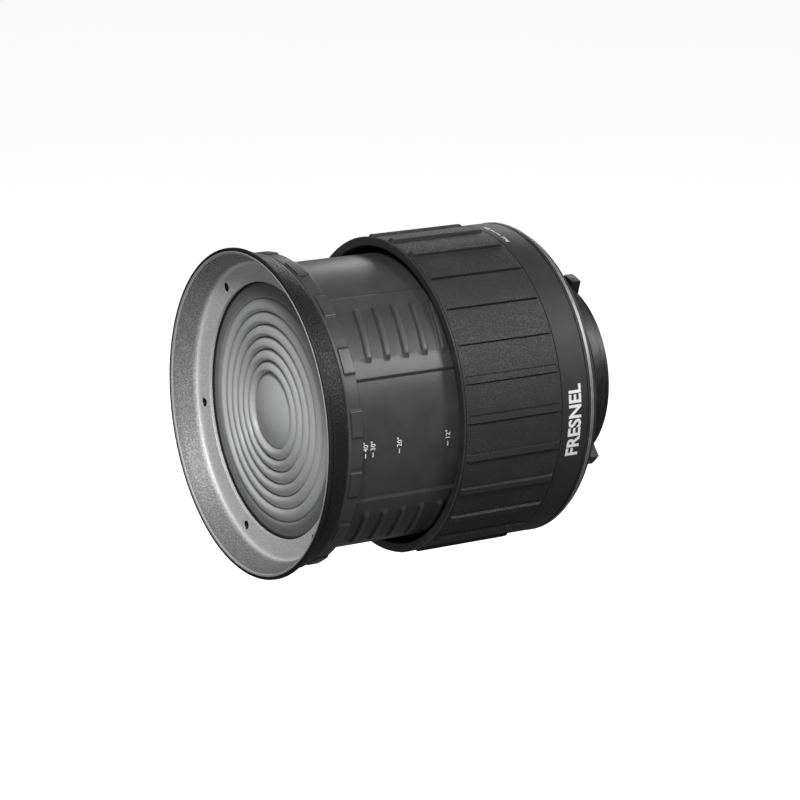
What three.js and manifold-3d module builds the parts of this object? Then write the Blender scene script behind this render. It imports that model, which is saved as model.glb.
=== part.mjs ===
// Zoom fresnel attachment for a studio lamp: bayonet base, turning focus ring and sliding lens barrel.
// Millimetres, +Z up. The optical axis is Y: the beam leaves towards -Y, and the lamp head is on the +Y side.
// The origin is the centre of the bayonet's seating plane. Angles are in degrees in the XZ plane, from +X to +Z.
import * as THREE from 'three';
import { mergeVertices } from 'three/addons/utils/BufferGeometryUtils.js';
import Module from 'manifold-3d';

const wasm = await Module();
wasm.setup();

// ---- driving dimensions ----
const ROUND = 40; // facets on a large turned part
const LENS_ROUND = 30; // facets on a lens and the rings that hold it
const SMALL = 8; // facets on a screw or a pin
const ROLLER_ROUND = 12; // facets on a roller or a bush
const SCREW_HOLE = 1.7; // radius of a hole for a screw's shank
const HEAD_HOLE = 2.7; // radius of a hole for a screw's head
const GAP = 0.3; // clearance between pieces that are fastened together

const FRONT = -198; // front edge of the rim
const RIM_R = 92; // largest radius, at the front rim
const BARREL_R = 80;
const BARREL_BORE = 76.5;
const BODY_FRONT = -112; // front edge of the focus ring
const BODY_REAR = -27; // rear edge of the focus ring
const BODY_R = 89;
const NECK_R = 60; // rear neck, as wide as the bayonet disc
const BORE_R = 49; // bayonet bore

const ZOOM_TRAVEL = 51.7; // barrel travel from spot to flood
const FOCUS_TURN = 100; // degrees of the focus ring for that travel
const LUG_ANGLES = [72, 192, 312];
const PIN_ANGLES = [90, 210, 330];
const PIN_Y = -90; // follower pins, with the barrel run out

const COLOURS = {
  barrel_plastic: [0x47474a, 0.55, 0.0],
  flange_black: [0x242425, 0.6, 0.1],
  bezel_silver: [0xb4b4b2, 0.42, 0.85],
  lens_glass: [0xc9cccc, 0.12, 0.0],
  grip_rubber: [0x2f2f31, 0.85, 0.0],
  body_black: [0x3a3a3c, 0.55, 0.1],
  trim_satin: [0x9b9b9d, 0.35, 0.7],
  mount_metal: [0x4c4c4e, 0.45, 0.8],
  inner_black: [0x1d1d1e, 0.7, 0.2],
  steel: [0x8c8d8f, 0.35, 0.9],
  seal_black: [0x151515, 0.95, 0.0],
  bearing_white: [0xd9d6cc, 0.6, 0.0],
};

const radians = THREE.MathUtils.degToRad;

// ---- shape helpers ----

// A ring or disc turned round the optical axis from a closed outline of [radius, y] points.
function turned(outline, segments = ROUND) {
  let points = outline.map(([r, y]) => new THREE.Vector2(r, y));
  if (THREE.ShapeUtils.area(points) < 0) points = points.reverse();
  const start = points.findIndex((p, i) => p.x === 0 && points.at(i - 1).x === 0);
  if (start >= 0) points = [...points.slice(start), ...points.slice(0, start)];
  else points.push(points[0].clone());
  return new THREE.LatheGeometry(points, segments);
}

// A plain ring with a square section.
function ring(inner, outer, front, rear, segments = ROUND) {
  return turned([[inner, front], [outer, front], [outer, rear], [inner, rear]], segments);
}

// A block bent round the optical axis, between two radii, two angles and two y positions.
// Its y positions shift by lead, evenly, from the first angle to the last.
function arcBlock({ inner, outer, from, to, front, rear, steps = 4, lead = 0 }) {
  const block = new THREE.BoxGeometry(1, 1, 1, steps, 1, 1);
  const position = block.attributes.position;
  for (let i = 0; i < position.count; i++) {
    const along = position.getX(i) + 0.5;
    const angle = radians(THREE.MathUtils.lerp(from, to, along));
    const radius = THREE.MathUtils.lerp(inner, outer, position.getY(i) + 0.5);
    const y = THREE.MathUtils.lerp(front, rear, position.getZ(i) + 0.5) + lead * along;
    position.setXYZ(i, radius * Math.cos(angle), y, radius * Math.sin(angle));
  }
  return block;
}

// A small turned piece or hole parallel to the optical axis, at a radius and an angle.
function alongAxis(outline, radius, angle) {
  const a = radians(angle);
  return turned(outline, SMALL).translate(radius * Math.cos(a), 0, radius * Math.sin(a));
}

// A small turned piece whose axis points straight out from the optical axis.
// Its outline is [own radius, distance out].
function pointingOut(outline, y, angle, segments = SMALL) {
  return turned(outline, segments).rotateZ(-Math.PI / 2).rotateY(-radians(angle)).translate(0, y, 0);
}

// Angles spread evenly round a circle.
function spread(count, first = 0) {
  return Array.from({ length: count }, (_, i) => first + (360 * i) / count);
}

function rod(radius, front, rear) {
  return [[0, front], [radius, front], [radius, rear], [0, rear]];
}

// ---- boolean joins and cuts ----

function toSolid(geometry) {
  const bare = geometry.clone();
  bare.deleteAttribute('normal');
  bare.deleteAttribute('uv');
  const merged = mergeVertices(bare, 1e-4);
  const corners = merged.index.array;
  const triVerts = [];
  for (let i = 0; i < corners.length; i += 3) {
    const [a, b, c] = corners.slice(i, i + 3);
    if (a !== b && b !== c && c !== a) triVerts.push(a, b, c);
  }
  const vertProperties = merged.attributes.position.array;
  const triangles = new Uint32Array(triVerts);
  return new wasm.Manifold(new wasm.Mesh({ numProp: 3, vertProperties, triVerts: triangles }));
}

function toGeometry(solid) {
  const mesh = solid.getMesh();
  const geometry = new THREE.BufferGeometry();
  geometry.setAttribute('position', new THREE.BufferAttribute(new Float32Array(mesh.vertProperties), 3));
  geometry.setIndex(new THREE.BufferAttribute(new Uint32Array(mesh.triVerts), 1));
  geometry.computeVertexNormals();
  return geometry;
}

// One body: the base joined with every piece in add, then with every piece in cut taken away.
function worked(base, { add = [], cut = [] }) {
  let solid = toSolid(base);
  for (const piece of add) solid = solid.add(toSolid(piece));
  for (const piece of cut) solid = solid.subtract(toSolid(piece));
  return toGeometry(solid);
}

const model = new THREE.Group();

function place(name, geometry, finish) {
  const [color, roughness, metalness] = COLOURS[finish];
  const material = new THREE.MeshStandardMaterial({ color, roughness, metalness });
  const mesh = new THREE.Mesh(geometry, material);
  mesh.name = name;
  model.add(mesh);
}

// A countersunk screw parallel to the axis: its head faces the side that side says (-1 front, +1 rear).
function screwOutline(head, shank, headY, length, side) {
  const headDepth = 1.9;
  const y = (depth) => headY - side * depth;
  return [
    [0, y(0)], [head, y(0)], [head, y(headDepth)], [shank, y(headDepth)], [shank, y(length)], [0, y(length)],
  ];
}

// ---- base: bayonet, rear housing, guide tube and rear lens; it stays fixed on the lamp ----

const DISC_FRONT = -6;
const COLLAR_REAR = 8;
const COLLAR_R = 53;
const LUG_R = 61;
const LUG_HALF = 4.2; // degrees
const LUG_FRONT = 2.2;
const MOUNT_SCREW_R = 56.6;
const mountScrewAngles = spread(6, 42);
const PLATE_FRONT = -32.4;
const PLATE_REAR = -27;
const PLATE_R = 83.3;
const NECK_BORE = 56;
const NECK_REAR = DISC_FRONT - GAP;
const SEAT_FRONT = -10.8; // lens seat inside the neck
const SEAT_BORE = 51;
const coverScrewAngles = spread(4, 45);
const COVER_SCREW_R = 76;
const COVER_R = 87.2;
const GUIDE_R = 74.4;
const GUIDE_BORE = 71.8;
const GUIDE_FRONT = -104;
const GUIDE_REAR = PLATE_FRONT - GAP;
const GUIDE_SCREW_R = 67.5;
const guideScrewAngles = spread(3, 30);
const SHOE_R = 3.2; // guide bush on the inner end of a follower pin
const ROLLER_R = 3.4; // cam roller on its outer end
const SLOT_PLAY = 0.5;

function makeBayonet() {
  const disc = turned([
    [BORE_R, DISC_FRONT], [NECK_R, DISC_FRONT], [NECK_R, -0.8], [NECK_R - 0.8, 0], [COLLAR_R, 0],
    [COLLAR_R, COLLAR_REAR - 0.8], [COLLAR_R - 0.8, COLLAR_REAR], [BORE_R, COLLAR_REAR],
  ]);
  const lugs = LUG_ANGLES.map((angle) => arcBlock({
    inner: COLLAR_R - 1, outer: LUG_R, from: angle - LUG_HALF, to: angle + LUG_HALF,
    front: LUG_FRONT, rear: COLLAR_REAR - 0.2, steps: 2,
  }));
  const holes = mountScrewAngles.flatMap((angle) => [
    alongAxis(rod(SCREW_HOLE, DISC_FRONT - 1, 1), MOUNT_SCREW_R, angle),
    alongAxis(rod(HEAD_HOLE, -2.5, 1), MOUNT_SCREW_R, angle),
  ]);
  place('bayonet_ring', worked(disc, { add: lugs, cut: holes }), 'mount_metal');
  mountScrewAngles.forEach((angle, i) => {
    const outline = screwOutline(2.4, 1.4, -0.3, 8.6, 1);
    place(`bayonet_screw_${i + 1}`, alongAxis(outline, MOUNT_SCREW_R, angle), 'steel');
  });
}

function makeRearHousing() {
  const plate = ring(NECK_R + GAP, PLATE_R, PLATE_FRONT, PLATE_REAR);
  const coverHole = rod(SCREW_HOLE, PLATE_FRONT + 0.6, 0);
  const guideHole = rod(SCREW_HOLE, PLATE_FRONT - 1, PLATE_REAR - 0.6);
  const coverHoles = coverScrewAngles.map((angle) => alongAxis(coverHole, COVER_SCREW_R, angle));
  const guideHoles = guideScrewAngles.map((angle) => alongAxis(guideHole, GUIDE_SCREW_R, angle));
  place('rear_plate', worked(plate, { cut: [...coverHoles, ...guideHoles] }), 'body_black');

  const neck = turned([
    [NECK_BORE, PLATE_FRONT], [NECK_R, PLATE_FRONT], [NECK_R, NECK_REAR], [SEAT_BORE, NECK_REAR],
    [SEAT_BORE, SEAT_FRONT], [NECK_BORE, SEAT_FRONT],
  ]);
  const mountHole = rod(SCREW_HOLE, SEAT_FRONT + 1.4, 0);
  const mountHoles = mountScrewAngles.map((angle) => alongAxis(mountHole, MOUNT_SCREW_R, angle));
  place('rear_neck', worked(neck, { cut: mountHoles }), 'body_black');

  const coverFront = PLATE_REAR + GAP;
  const coverRear = coverFront + 2.6;
  const cover = turned([
    [NECK_R + 0.4, coverFront], [COVER_R, coverFront], [COVER_R, coverRear - 1], [COVER_R - 1, coverRear],
    [NECK_R + 0.4, coverRear],
  ]);
  const seats = coverScrewAngles.flatMap((angle) => [
    alongAxis(rod(SCREW_HOLE, coverFront - 1, coverRear + 1), COVER_SCREW_R, angle),
    alongAxis(rod(HEAD_HOLE, coverRear - 2.2, coverRear + 1), COVER_SCREW_R, angle),
  ]);
  place('rear_cover', worked(cover, { cut: seats }), 'body_black');
  coverScrewAngles.forEach((angle, i) => {
    const outline = screwOutline(2.4, 1.4, coverRear - 0.1, 4.9, 1);
    place(`cover_screw_${i + 1}`, alongAxis(outline, COVER_SCREW_R, angle), 'steel');
  });
  place('bearing_ring', ring(PLATE_R + GAP, 85.15, PLATE_FRONT + 0.4, PLATE_REAR, ROUND), 'bearing_white');
}

function makeGuideTube() {
  const footFront = GUIDE_REAR - 2.4;
  const tube = turned([
    [64, footFront], [GUIDE_BORE, footFront], [GUIDE_BORE, GUIDE_FRONT], [GUIDE_R, GUIDE_FRONT],
    [GUIDE_R, GUIDE_REAR], [64, GUIDE_REAR],
  ]);
  const halfWidth = THREE.MathUtils.radToDeg((SHOE_R + SLOT_PLAY) / GUIDE_BORE);
  const slots = PIN_ANGLES.map((angle) => arcBlock({
    inner: GUIDE_BORE - 3, outer: GUIDE_R + 3, from: angle - halfWidth, to: angle + halfWidth,
    front: PIN_Y - SHOE_R - 1, rear: PIN_Y + ZOOM_TRAVEL + SHOE_R + 0.6, steps: 2,
  }));
  const hole = rod(SCREW_HOLE, GUIDE_REAR - 4, GUIDE_REAR + 1);
  const holes = guideScrewAngles.map((angle) => alongAxis(hole, GUIDE_SCREW_R, angle));
  place('guide_tube', worked(tube, { cut: [...slots, ...holes] }), 'inner_black');
  guideScrewAngles.forEach((angle, i) => {
    const outline = screwOutline(2.6, 1.4, footFront - GAP - 1.9, 6.8, -1);
    place(`guide_screw_${i + 1}`, alongAxis(outline, GUIDE_SCREW_R, angle), 'steel');
  });
}

function makeRearLens() {
  const rim = NECK_BORE - 0.4;
  const rear = SEAT_FRONT - 1.4;
  const thickness = 3.2;
  const crown = 5.5; // the lens bulges towards the beam
  const front = rear - thickness;
  const dome = Array.from({ length: 5 }, (_, i) => {
    const part = 1 - i / 4;
    return [(rim - 3) * part, front - crown * (1 - part * part)];
  });
  place('rear_lens', turned([[0, rear], [rim, rear], [rim, front], ...dome], LENS_ROUND), 'lens_glass');
  place('rear_lens_gasket', ring(SEAT_BORE + 1, rim, rear + 0.2, SEAT_FRONT - 0.2, LENS_ROUND), 'seal_black');
  place('rear_lens_retainer', ring(rim - 2.6, rim, front - 4, front - 0.3, LENS_ROUND), 'inner_black');
}

// ---- focus ring: outer shell, rubber grip, lip, rear band, trim and the cam tube inside ----

const SHELL_BORE = 85.6;
const SHELL_R = 87.4;
const SKIN_BORE = SHELL_R + GAP;
const LIP_REAR = -110.9;
const SPIGOT_BORE = 84.2;
const SPIGOT_R = 85.3;
const SPIGOT_REAR = -100.5;
const SLEEVE_REAR = -48.6;
const BAR_COUNT = 26;
const BAR_WIDTH = 2.6; // degrees
const BAR_FIRST = 44.3; // centre of the first bar
const BAR_R = 90.5;
const BAND_REAR = -29.7;
const CAM_BORE = 82.8;
const CAM_R = 85.2;
const SEAL_BORE = 82.7;
const CAM_FRONT = -97;
const CAM_REAR = -33;

function makeFocusShell() {
  place('focus_shell', ring(SHELL_BORE, SHELL_R, LIP_REAR + GAP, BODY_REAR - 0.2), 'body_black');
  place('front_lip_ring', turned([
    [SPIGOT_BORE, BODY_FRONT + 0.8], [SPIGOT_BORE + 0.8, BODY_FRONT], [89, BODY_FRONT], [89.5, BODY_FRONT + 0.5],
    [89.5, LIP_REAR], [SPIGOT_R, LIP_REAR], [SPIGOT_R, SPIGOT_REAR], [SPIGOT_BORE, SPIGOT_REAR],
  ]), 'trim_satin');
  place('light_seal', ring(SEAL_BORE, SPIGOT_R, SPIGOT_REAR + GAP, CAM_FRONT - GAP), 'seal_black');
  place('rear_band', turned([
    [SKIN_BORE, SLEEVE_REAR + GAP], [BODY_R, SLEEVE_REAR + GAP], [BODY_R, BAND_REAR - 2], [BODY_R - 0.6, BAND_REAR - 1.7],
    [BODY_R - 0.6, BAND_REAR - 1.4], [BODY_R, BAND_REAR - 1.1], [BODY_R, BAND_REAR], [SKIN_BORE, BAND_REAR],
  ]), 'body_black');
  place('trim_ring', turned([
    [SKIN_BORE, BAND_REAR + GAP], [BODY_R + 0.2, BAND_REAR + GAP], [BODY_R + 0.2, BODY_REAR - 0.8],
    [BODY_R - 0.6, BODY_REAR], [SKIN_BORE, BODY_REAR],
  ]), 'trim_satin');
}

function makeGripSleeve() {
  const outline = new THREE.Shape();
  for (const angle of spread(BAR_COUNT, BAR_FIRST)) {
    const from = radians(angle - BAR_WIDTH / 2);
    const to = radians(angle + BAR_WIDTH / 2);
    const next = radians(angle - BAR_WIDTH / 2 + 360 / BAR_COUNT);
    outline.absarc(0, 0, BAR_R, from, to, false);
    outline.absarc(0, 0, BODY_R, to, next, false);
  }
  const bore = spread(ROUND).map((angle) => new THREE.Vector2(
    SKIN_BORE * Math.cos(radians(angle)), SKIN_BORE * Math.sin(radians(angle))));
  outline.holes.push(new THREE.Path(bore));
  const depth = SLEEVE_REAR - LIP_REAR - GAP;
  const sleeve = new THREE.ExtrudeGeometry(outline, { depth, bevelEnabled: false, curveSegments: 1 });
  place('grip_sleeve', sleeve.rotateX(Math.PI / 2).translate(0, SLEEVE_REAR, 0), 'grip_rubber');
}

// The cam tube carries three helical slots. Each one starts at its follower pin and runs back as the ring turns.
function makeCamTube() {
  const tube = ring(CAM_BORE, CAM_R, CAM_FRONT, CAM_REAR);
  const slope = ZOOM_TRAVEL / (radians(FOCUS_TURN) * CAM_R);
  const halfSlot = (ROLLER_R + SLOT_PLAY) * Math.sqrt(1 + slope * slope);
  const overrun = THREE.MathUtils.radToDeg((ROLLER_R + SLOT_PLAY) / CAM_BORE);
  const leadPerDegree = ZOOM_TRAVEL / FOCUS_TURN;
  const slots = PIN_ANGLES.map((angle) => arcBlock({
    inner: CAM_BORE - 2, outer: CAM_R + 2, from: angle - overrun, to: angle + FOCUS_TURN + overrun,
    front: PIN_Y - overrun * leadPerDegree - halfSlot, rear: PIN_Y - overrun * leadPerDegree + halfSlot,
    steps: 18, lead: (FOCUS_TURN + 2 * overrun) * leadPerDegree,
  }));
  place('cam_tube', worked(tube, { cut: slots }), 'inner_black');
}

// ---- barrel: tube, front flange, bezel, fresnel lens and the follower pins ----

const TUBE_FRONT = -176.9;
const TUBE_REAR = -84.5;
const RIM_REAR = -195.4;
const GROOVE_FRONT = -184.2; // narrow groove between the band and the collar
const COLLAR_FRONT = -183.4;
const COLLAR_END = -174.3;
const COLLAR_OUTER = 87;
const SEAT_FACE = -180.2; // where the bezel lies on the flange
const SEAT_R = 83.5;
const WEB_REAR = TUBE_FRONT - GAP;
const LENS_POCKET = 73.6;
const TOOTH_COUNT = 16;
const TOOTH_FIRST = 7.25;
const TOOTH_WIDTH = 9.7; // degrees
const TOOTH_FRONT = -181.3;
const TOOTH_R = 88.1;
const BEZEL_SCREW_R = 78;
const bezelScrewAngles = spread(6, 8.5);
const PAD_WIDTH = 35;
const PAD_ANGLES = [40.7, -44.7, 135.3, 220.7];
const PAD_R = 80.8;
const PAD_FRONT = -174;
const PAD_REAR = -101;
const RIB_COUNT = 5;
const RIB_PITCH = 11.75;
const RIB_LENGTH = 24; // degrees
const RIB_WIDTH = 4.1;
const RIB_SLANT = 3.6; // how far a rib's outer end lies behind its inner end
const RIB_FIRST = -159.9;
const RIB_R = 81.9;

function makeBarrelTube() {
  const tube = ring(BARREL_BORE, BARREL_R, TUBE_FRONT, TUBE_REAR);
  const pads = PAD_ANGLES.map((angle) => arcBlock({
    inner: BARREL_R - 1.5, outer: PAD_R, from: angle - PAD_WIDTH / 2, to: angle + PAD_WIDTH / 2,
    front: PAD_FRONT, rear: PAD_REAR, steps: 5,
  }));
  const ribs = PAD_ANGLES.flatMap((angle) => {
    const lead = Math.sin(radians(2 * angle)) > 0 ? RIB_SLANT : -RIB_SLANT;
    return Array.from({ length: RIB_COUNT }, (_, i) => {
      const middle = RIB_FIRST + RIB_PITCH * i - lead / 2;
      return arcBlock({
        inner: BARREL_R - 1, outer: RIB_R, from: angle - RIB_LENGTH / 2, to: angle + RIB_LENGTH / 2,
        front: middle - RIB_WIDTH / 2, rear: middle + RIB_WIDTH / 2, steps: 3, lead,
      });
    });
  });
  const pinHoles = PIN_ANGLES.map((angle) => pointingOut(rod(2.3, BARREL_BORE - 2, BARREL_R + 2), PIN_Y, angle));
  place('barrel_tube', worked(tube, { add: [...pads, ...ribs], cut: pinHoles }), 'barrel_plastic');
}

function makeFrontFlange() {
  const outside = [
    [90.9, FRONT], [91.4, FRONT], [RIM_R, FRONT + 0.6], [RIM_R, RIM_REAR - 0.4], [91.6, RIM_REAR], [89.3, RIM_REAR],
    [88.2, GROOVE_FRONT], [86.2, GROOVE_FRONT], [86.2, COLLAR_FRONT], [COLLAR_OUTER - 0.5, COLLAR_FRONT],
    [COLLAR_OUTER, COLLAR_FRONT + 0.5], [COLLAR_OUTER, COLLAR_END - 0.5], [COLLAR_OUTER - 0.5, COLLAR_END],
  ];
  const inside = [
    [BARREL_R + GAP, COLLAR_END], [BARREL_R + GAP, WEB_REAR], [BARREL_BORE - GAP, WEB_REAR],
    [BARREL_BORE - GAP, COLLAR_END - GAP], [LENS_POCKET, COLLAR_END - GAP], [LENS_POCKET, SEAT_FACE],
    [SEAT_R, SEAT_FACE], [84.2, -184.1], [85.4, -187.7], [86.9, -191.6], [87.6, -194.2], [89.5, FRONT + 1.1],
    [90.9, FRONT + 1.1],
  ];
  const teeth = spread(TOOTH_COUNT, TOOTH_FIRST).map((angle) => arcBlock({
    inner: COLLAR_OUTER - 1, outer: TOOTH_R, from: angle - TOOTH_WIDTH / 2, to: angle + TOOTH_WIDTH / 2,
    front: TOOTH_FRONT, rear: COLLAR_END - 0.5, steps: 2,
  }));
  const hole = rod(SCREW_HOLE, SEAT_FACE - 1, WEB_REAR - 0.4);
  const holes = bezelScrewAngles.map((angle) => alongAxis(hole, BEZEL_SCREW_R, angle));
  const flange = worked(turned([...outside, ...inside]), { add: teeth, cut: holes });
  place('front_flange', flange, 'flange_black');
}

// The bezel is a flat ledge for its six screws, and a bevel that curves out to the rim.
function makeBezel() {
  const ledgeRear = SEAT_FACE - GAP;
  const front = [
    [71.8, -182.4], [82, -183.6], [83, -184.4], [84.4, -188], [85.9, -192], [87, -194.6], [89.2, FRONT + 0.3],
    [89.8, FRONT],
  ];
  const back = [
    [90.2, FRONT + 0.2], [90.2, FRONT + 0.7], [89.5, FRONT + 0.7], [87.4, -194.4], [86.6, -191.7], [85.1, -187.8],
    [83.9, -184.2], [SEAT_R - GAP, ledgeRear], [71.8, ledgeRear],
  ];
  const hole = rod(HEAD_HOLE, FRONT, ledgeRear + 1);
  const holes = bezelScrewAngles.map((angle) => alongAxis(hole, BEZEL_SCREW_R, angle));
  place('front_bezel', worked(turned([...front, ...back]), { cut: holes }), 'bezel_silver');
  bezelScrewAngles.forEach((angle, i) => {
    const outline = screwOutline(2.4, 1.4, SEAT_FACE - 2.2, 4.5, -1);
    place(`bezel_screw_${i + 1}`, alongAxis(outline, BEZEL_SCREW_R, angle), 'steel');
  });
}

// The fresnel lens has a domed centre and seven stepped zones; every zone slopes back outwards.
function makeFresnelLens() {
  const zones = [21.4, 27.8, 34.4, 41.2, 48, 55, 62.4];
  const edge = 70.8;
  const rim = LENS_POCKET - GAP;
  const crest = -182.2;
  const root = -180.6;
  const back = -176.6;
  const rimFront = SEAT_FACE + 0.9;
  const steps = zones.flatMap((radius) => [[radius, root], [radius + 0.2, crest]]);
  const outline = [
    [0, back], [0, crest - 1.2], [zones[0] * 0.6, crest - 0.6], ...steps, [edge, root], [edge, rimFront],
    [rim, rimFront], [rim, back],
  ];
  place('fresnel_lens', turned(outline, LENS_ROUND), 'lens_glass');
  place('lens_gasket', ring(edge + 0.4, rim, SEAT_FACE - 0.1, rimFront - 0.2, LENS_ROUND), 'seal_black');
  place('lens_retainer', ring(68, rim, back + 0.3, back + 3.4, LENS_ROUND), 'inner_black');
}

// Each follower pin carries a roller in the cam slot and a bush in the guide slot.
function makeFollowers() {
  const bore = 2.2;
  const sleeve = (radius, inner, outer, angle) => pointingOut(
    [[bore, inner], [radius, inner], [radius, outer], [bore, outer]], PIN_Y, angle, ROLLER_ROUND);
  PIN_ANGLES.forEach((angle, i) => {
    const pin = rod(1.9, GUIDE_BORE + 0.1, CAM_R - 0.2);
    place(`follower_pin_${i + 1}`, pointingOut(pin, PIN_Y, angle), 'steel');
    place(`cam_roller_${i + 1}`, sleeve(ROLLER_R, BARREL_R + 0.5, CAM_R - 0.3, angle), 'bearing_white');
    place(`guide_bush_${i + 1}`, sleeve(SHOE_R, GUIDE_BORE + 0.1, BARREL_BORE - 0.4, angle), 'bearing_white');
  });
}

makeBayonet();
makeRearHousing();
makeGuideTube();
makeRearLens();
makeFocusShell();
makeGripSleeve();
makeCamTube();
makeBarrelTube();
makeFrontFlange();
makeBezel();
makeFresnelLens();
makeFollowers();

export default model;
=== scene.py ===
"""Zoom fresnel attachment for a studio lamp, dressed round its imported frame.

Sizes are in millimetres and angles in degrees, from +X towards +Z round the optical axis, which is Y.
The beam leaves towards -Y. Meshes are written in metres.
"""
import logging
from dataclasses import dataclass
from enum import Enum

import bmesh
import bpy
import numpy as np
from mathutils import Matrix, Vector


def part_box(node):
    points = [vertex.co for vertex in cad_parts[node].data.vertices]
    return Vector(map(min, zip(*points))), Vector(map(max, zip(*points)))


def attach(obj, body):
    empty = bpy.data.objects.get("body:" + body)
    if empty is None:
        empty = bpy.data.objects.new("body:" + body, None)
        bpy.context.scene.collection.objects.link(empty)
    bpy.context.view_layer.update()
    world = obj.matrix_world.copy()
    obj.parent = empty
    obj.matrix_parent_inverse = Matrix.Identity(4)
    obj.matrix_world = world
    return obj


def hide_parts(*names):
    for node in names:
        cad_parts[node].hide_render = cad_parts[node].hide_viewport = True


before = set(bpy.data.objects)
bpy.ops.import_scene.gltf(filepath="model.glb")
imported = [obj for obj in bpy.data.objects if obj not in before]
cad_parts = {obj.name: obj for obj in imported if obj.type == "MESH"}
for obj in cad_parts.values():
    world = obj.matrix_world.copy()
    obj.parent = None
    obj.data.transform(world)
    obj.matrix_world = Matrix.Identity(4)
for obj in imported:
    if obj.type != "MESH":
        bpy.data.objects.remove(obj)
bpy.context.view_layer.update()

MM = 0.001
TURN = 360.0
ROUND = 192  # plain facets of a large ring
SHARP = 32.0  # angle in degrees above which an edge of a ring stays sharp
STEPS = 4  # segments of a rounded corner
log = logging.getLogger("fresnel")


# ---- where the frame says things are ----


@dataclass(frozen=True)
class Extent:
    """How far a turned node reaches: front and rear along the axis, and its radius, in millimetres."""

    front: float
    rear: float
    radius: float

    @classmethod
    def of(cls, node: str) -> "Extent":
        """Extent of a node at rest.

        Args:
            node: Name of the node.

        Returns:
            Its extent.
        """
        low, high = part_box(node)
        return cls(low.y / MM, high.y / MM, high.x / MM)


# ---- curves and grids ----


def smooth(x: np.ndarray, start: float, end: float) -> np.ndarray:
    """Smooth step: 3t^2 - 2t^3, where t runs from 0 at start to 1 at end.

    Args:
        x: Where it is wanted.
        start: Where the step starts.
        end: Where it ends; it may lie before start.

    Returns:
        Values from 0 to 1.
    """
    t = np.clip((np.asarray(x, float) - start) / (end - start), 0, 1)
    return t * t * (3 - 2 * t)


def plateau(x: np.ndarray, low: float, high: float, slope: float) -> np.ndarray:
    """1 between low and high, falling smoothly to 0 over slope outside them.

    Args:
        x: Where it is wanted.
        low: Start of the flat top.
        high: End of the flat top.
        slope: Width of each flank.

    Returns:
        Values from 0 to 1.
    """
    return smooth(x, low - slope, low) * smooth(x, high + slope, high)


def angle_from(theta: np.ndarray, centre: float) -> np.ndarray:
    """Signed angle from centre to theta, from -180 to 180."""
    return (np.asarray(theta, float) - centre + TURN / 2) % TURN - TURN / 2


def spread(count: int, first: float = 0.0) -> np.ndarray:
    """Angles of count equal steps round a circle, from first."""
    return first + TURN * np.arange(count) / count


def lines(plain: np.ndarray, features: np.ndarray, clear: float, period: float | None = None) -> np.ndarray:
    """Grid positions: every feature, and each plain position that is at least clear from all features.

    Args:
        plain: Evenly spread positions.
        features: Positions that have to be on the grid.
        clear: Smallest distance from a plain position to a feature.
        period: Length of a closed grid, or None.

    Returns:
        Sorted positions.
    """
    features = np.asarray(features, float).ravel()
    if period:
        features = features % period
    features = np.unique(np.round(features, 4))
    away = np.abs(plain[:, None] - features[None, :])
    if period:
        away = np.minimum(away, period - away)
    return np.sort(np.concatenate([features, plain[away.min(1) >= clear]]))


# By default every corner gets a painted highlight.
def rounded(corners: list[tuple[float, float]], cut: float | list[float],
            edge: float | list[float] = 1.0) -> tuple[np.ndarray, np.ndarray]:
    """Closed outline with rounded corners.

    Each corner c becomes (1-t)^2 a + 2t(1-t) c + t^2 b, with a and b on its two sides, cut away from it.

    Args:
        corners: Points of radius and position along the axis.
        cut: Distance cut at each corner, one for all or one each.
        edge: Painted light of each corner: above 0 a painted highlight, below 0 painted shade.

    Returns:
        The outline's points, and the painted light on them, which is full in the middle of a corner.
    """
    c = np.array(corners, float)
    back, ahead = np.roll(c, 1, 0) - c, np.roll(c, -1, 0) - c
    reach = np.broadcast_to(np.asarray(cut, float), len(c))
    a_long, b_long = np.linalg.norm(back, axis=1), np.linalg.norm(ahead, axis=1)
    a = c + back * (np.minimum(reach, 0.45 * a_long) / a_long)[:, None]
    b = c + ahead * (np.minimum(reach, 0.45 * b_long) / b_long)[:, None]
    t = np.linspace(0, 1, STEPS + 1)[None, :, None]
    curve = (1 - t) ** 2 * a[:, None] + 2 * t * (1 - t) * c[:, None] + t**2 * b[:, None]
    weight = np.broadcast_to(np.asarray(edge, float), len(c))
    painted_light = weight[:, None] * (4 * t[0, :, 0] * (1 - t[0, :, 0]))[None, :]
    return curve.reshape(-1, 2), painted_light.reshape(-1)


@dataclass
class Surface:
    """A grid of points in millimetres, with a painted light value at each point, from painted shade below 0 to a
    painted highlight above 0, closed across its rows and its columns.
    """

    points: np.ndarray
    painted_light: np.ndarray
    rows_close: bool = True
    columns_close: bool = True

    def faces(self) -> np.ndarray:
        """Four corners of every grid cell, as point numbers.

        Returns:
            One row of four numbers per cell.
        """
        rows, columns = self.painted_light.shape
        i = np.arange(rows if self.rows_close else rows - 1)[:, None]
        j = np.arange(columns if self.columns_close else columns - 1)[None, :]
        after_i, after_j = (i + 1) % rows, (j + 1) % columns
        cells = [i * columns + j, i * columns + after_j, after_i * columns + after_j, after_i * columns + j]
        return np.stack([np.broadcast_to(c, (i.size, j.size)) for c in cells], -1).reshape(-1, 4)


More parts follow.
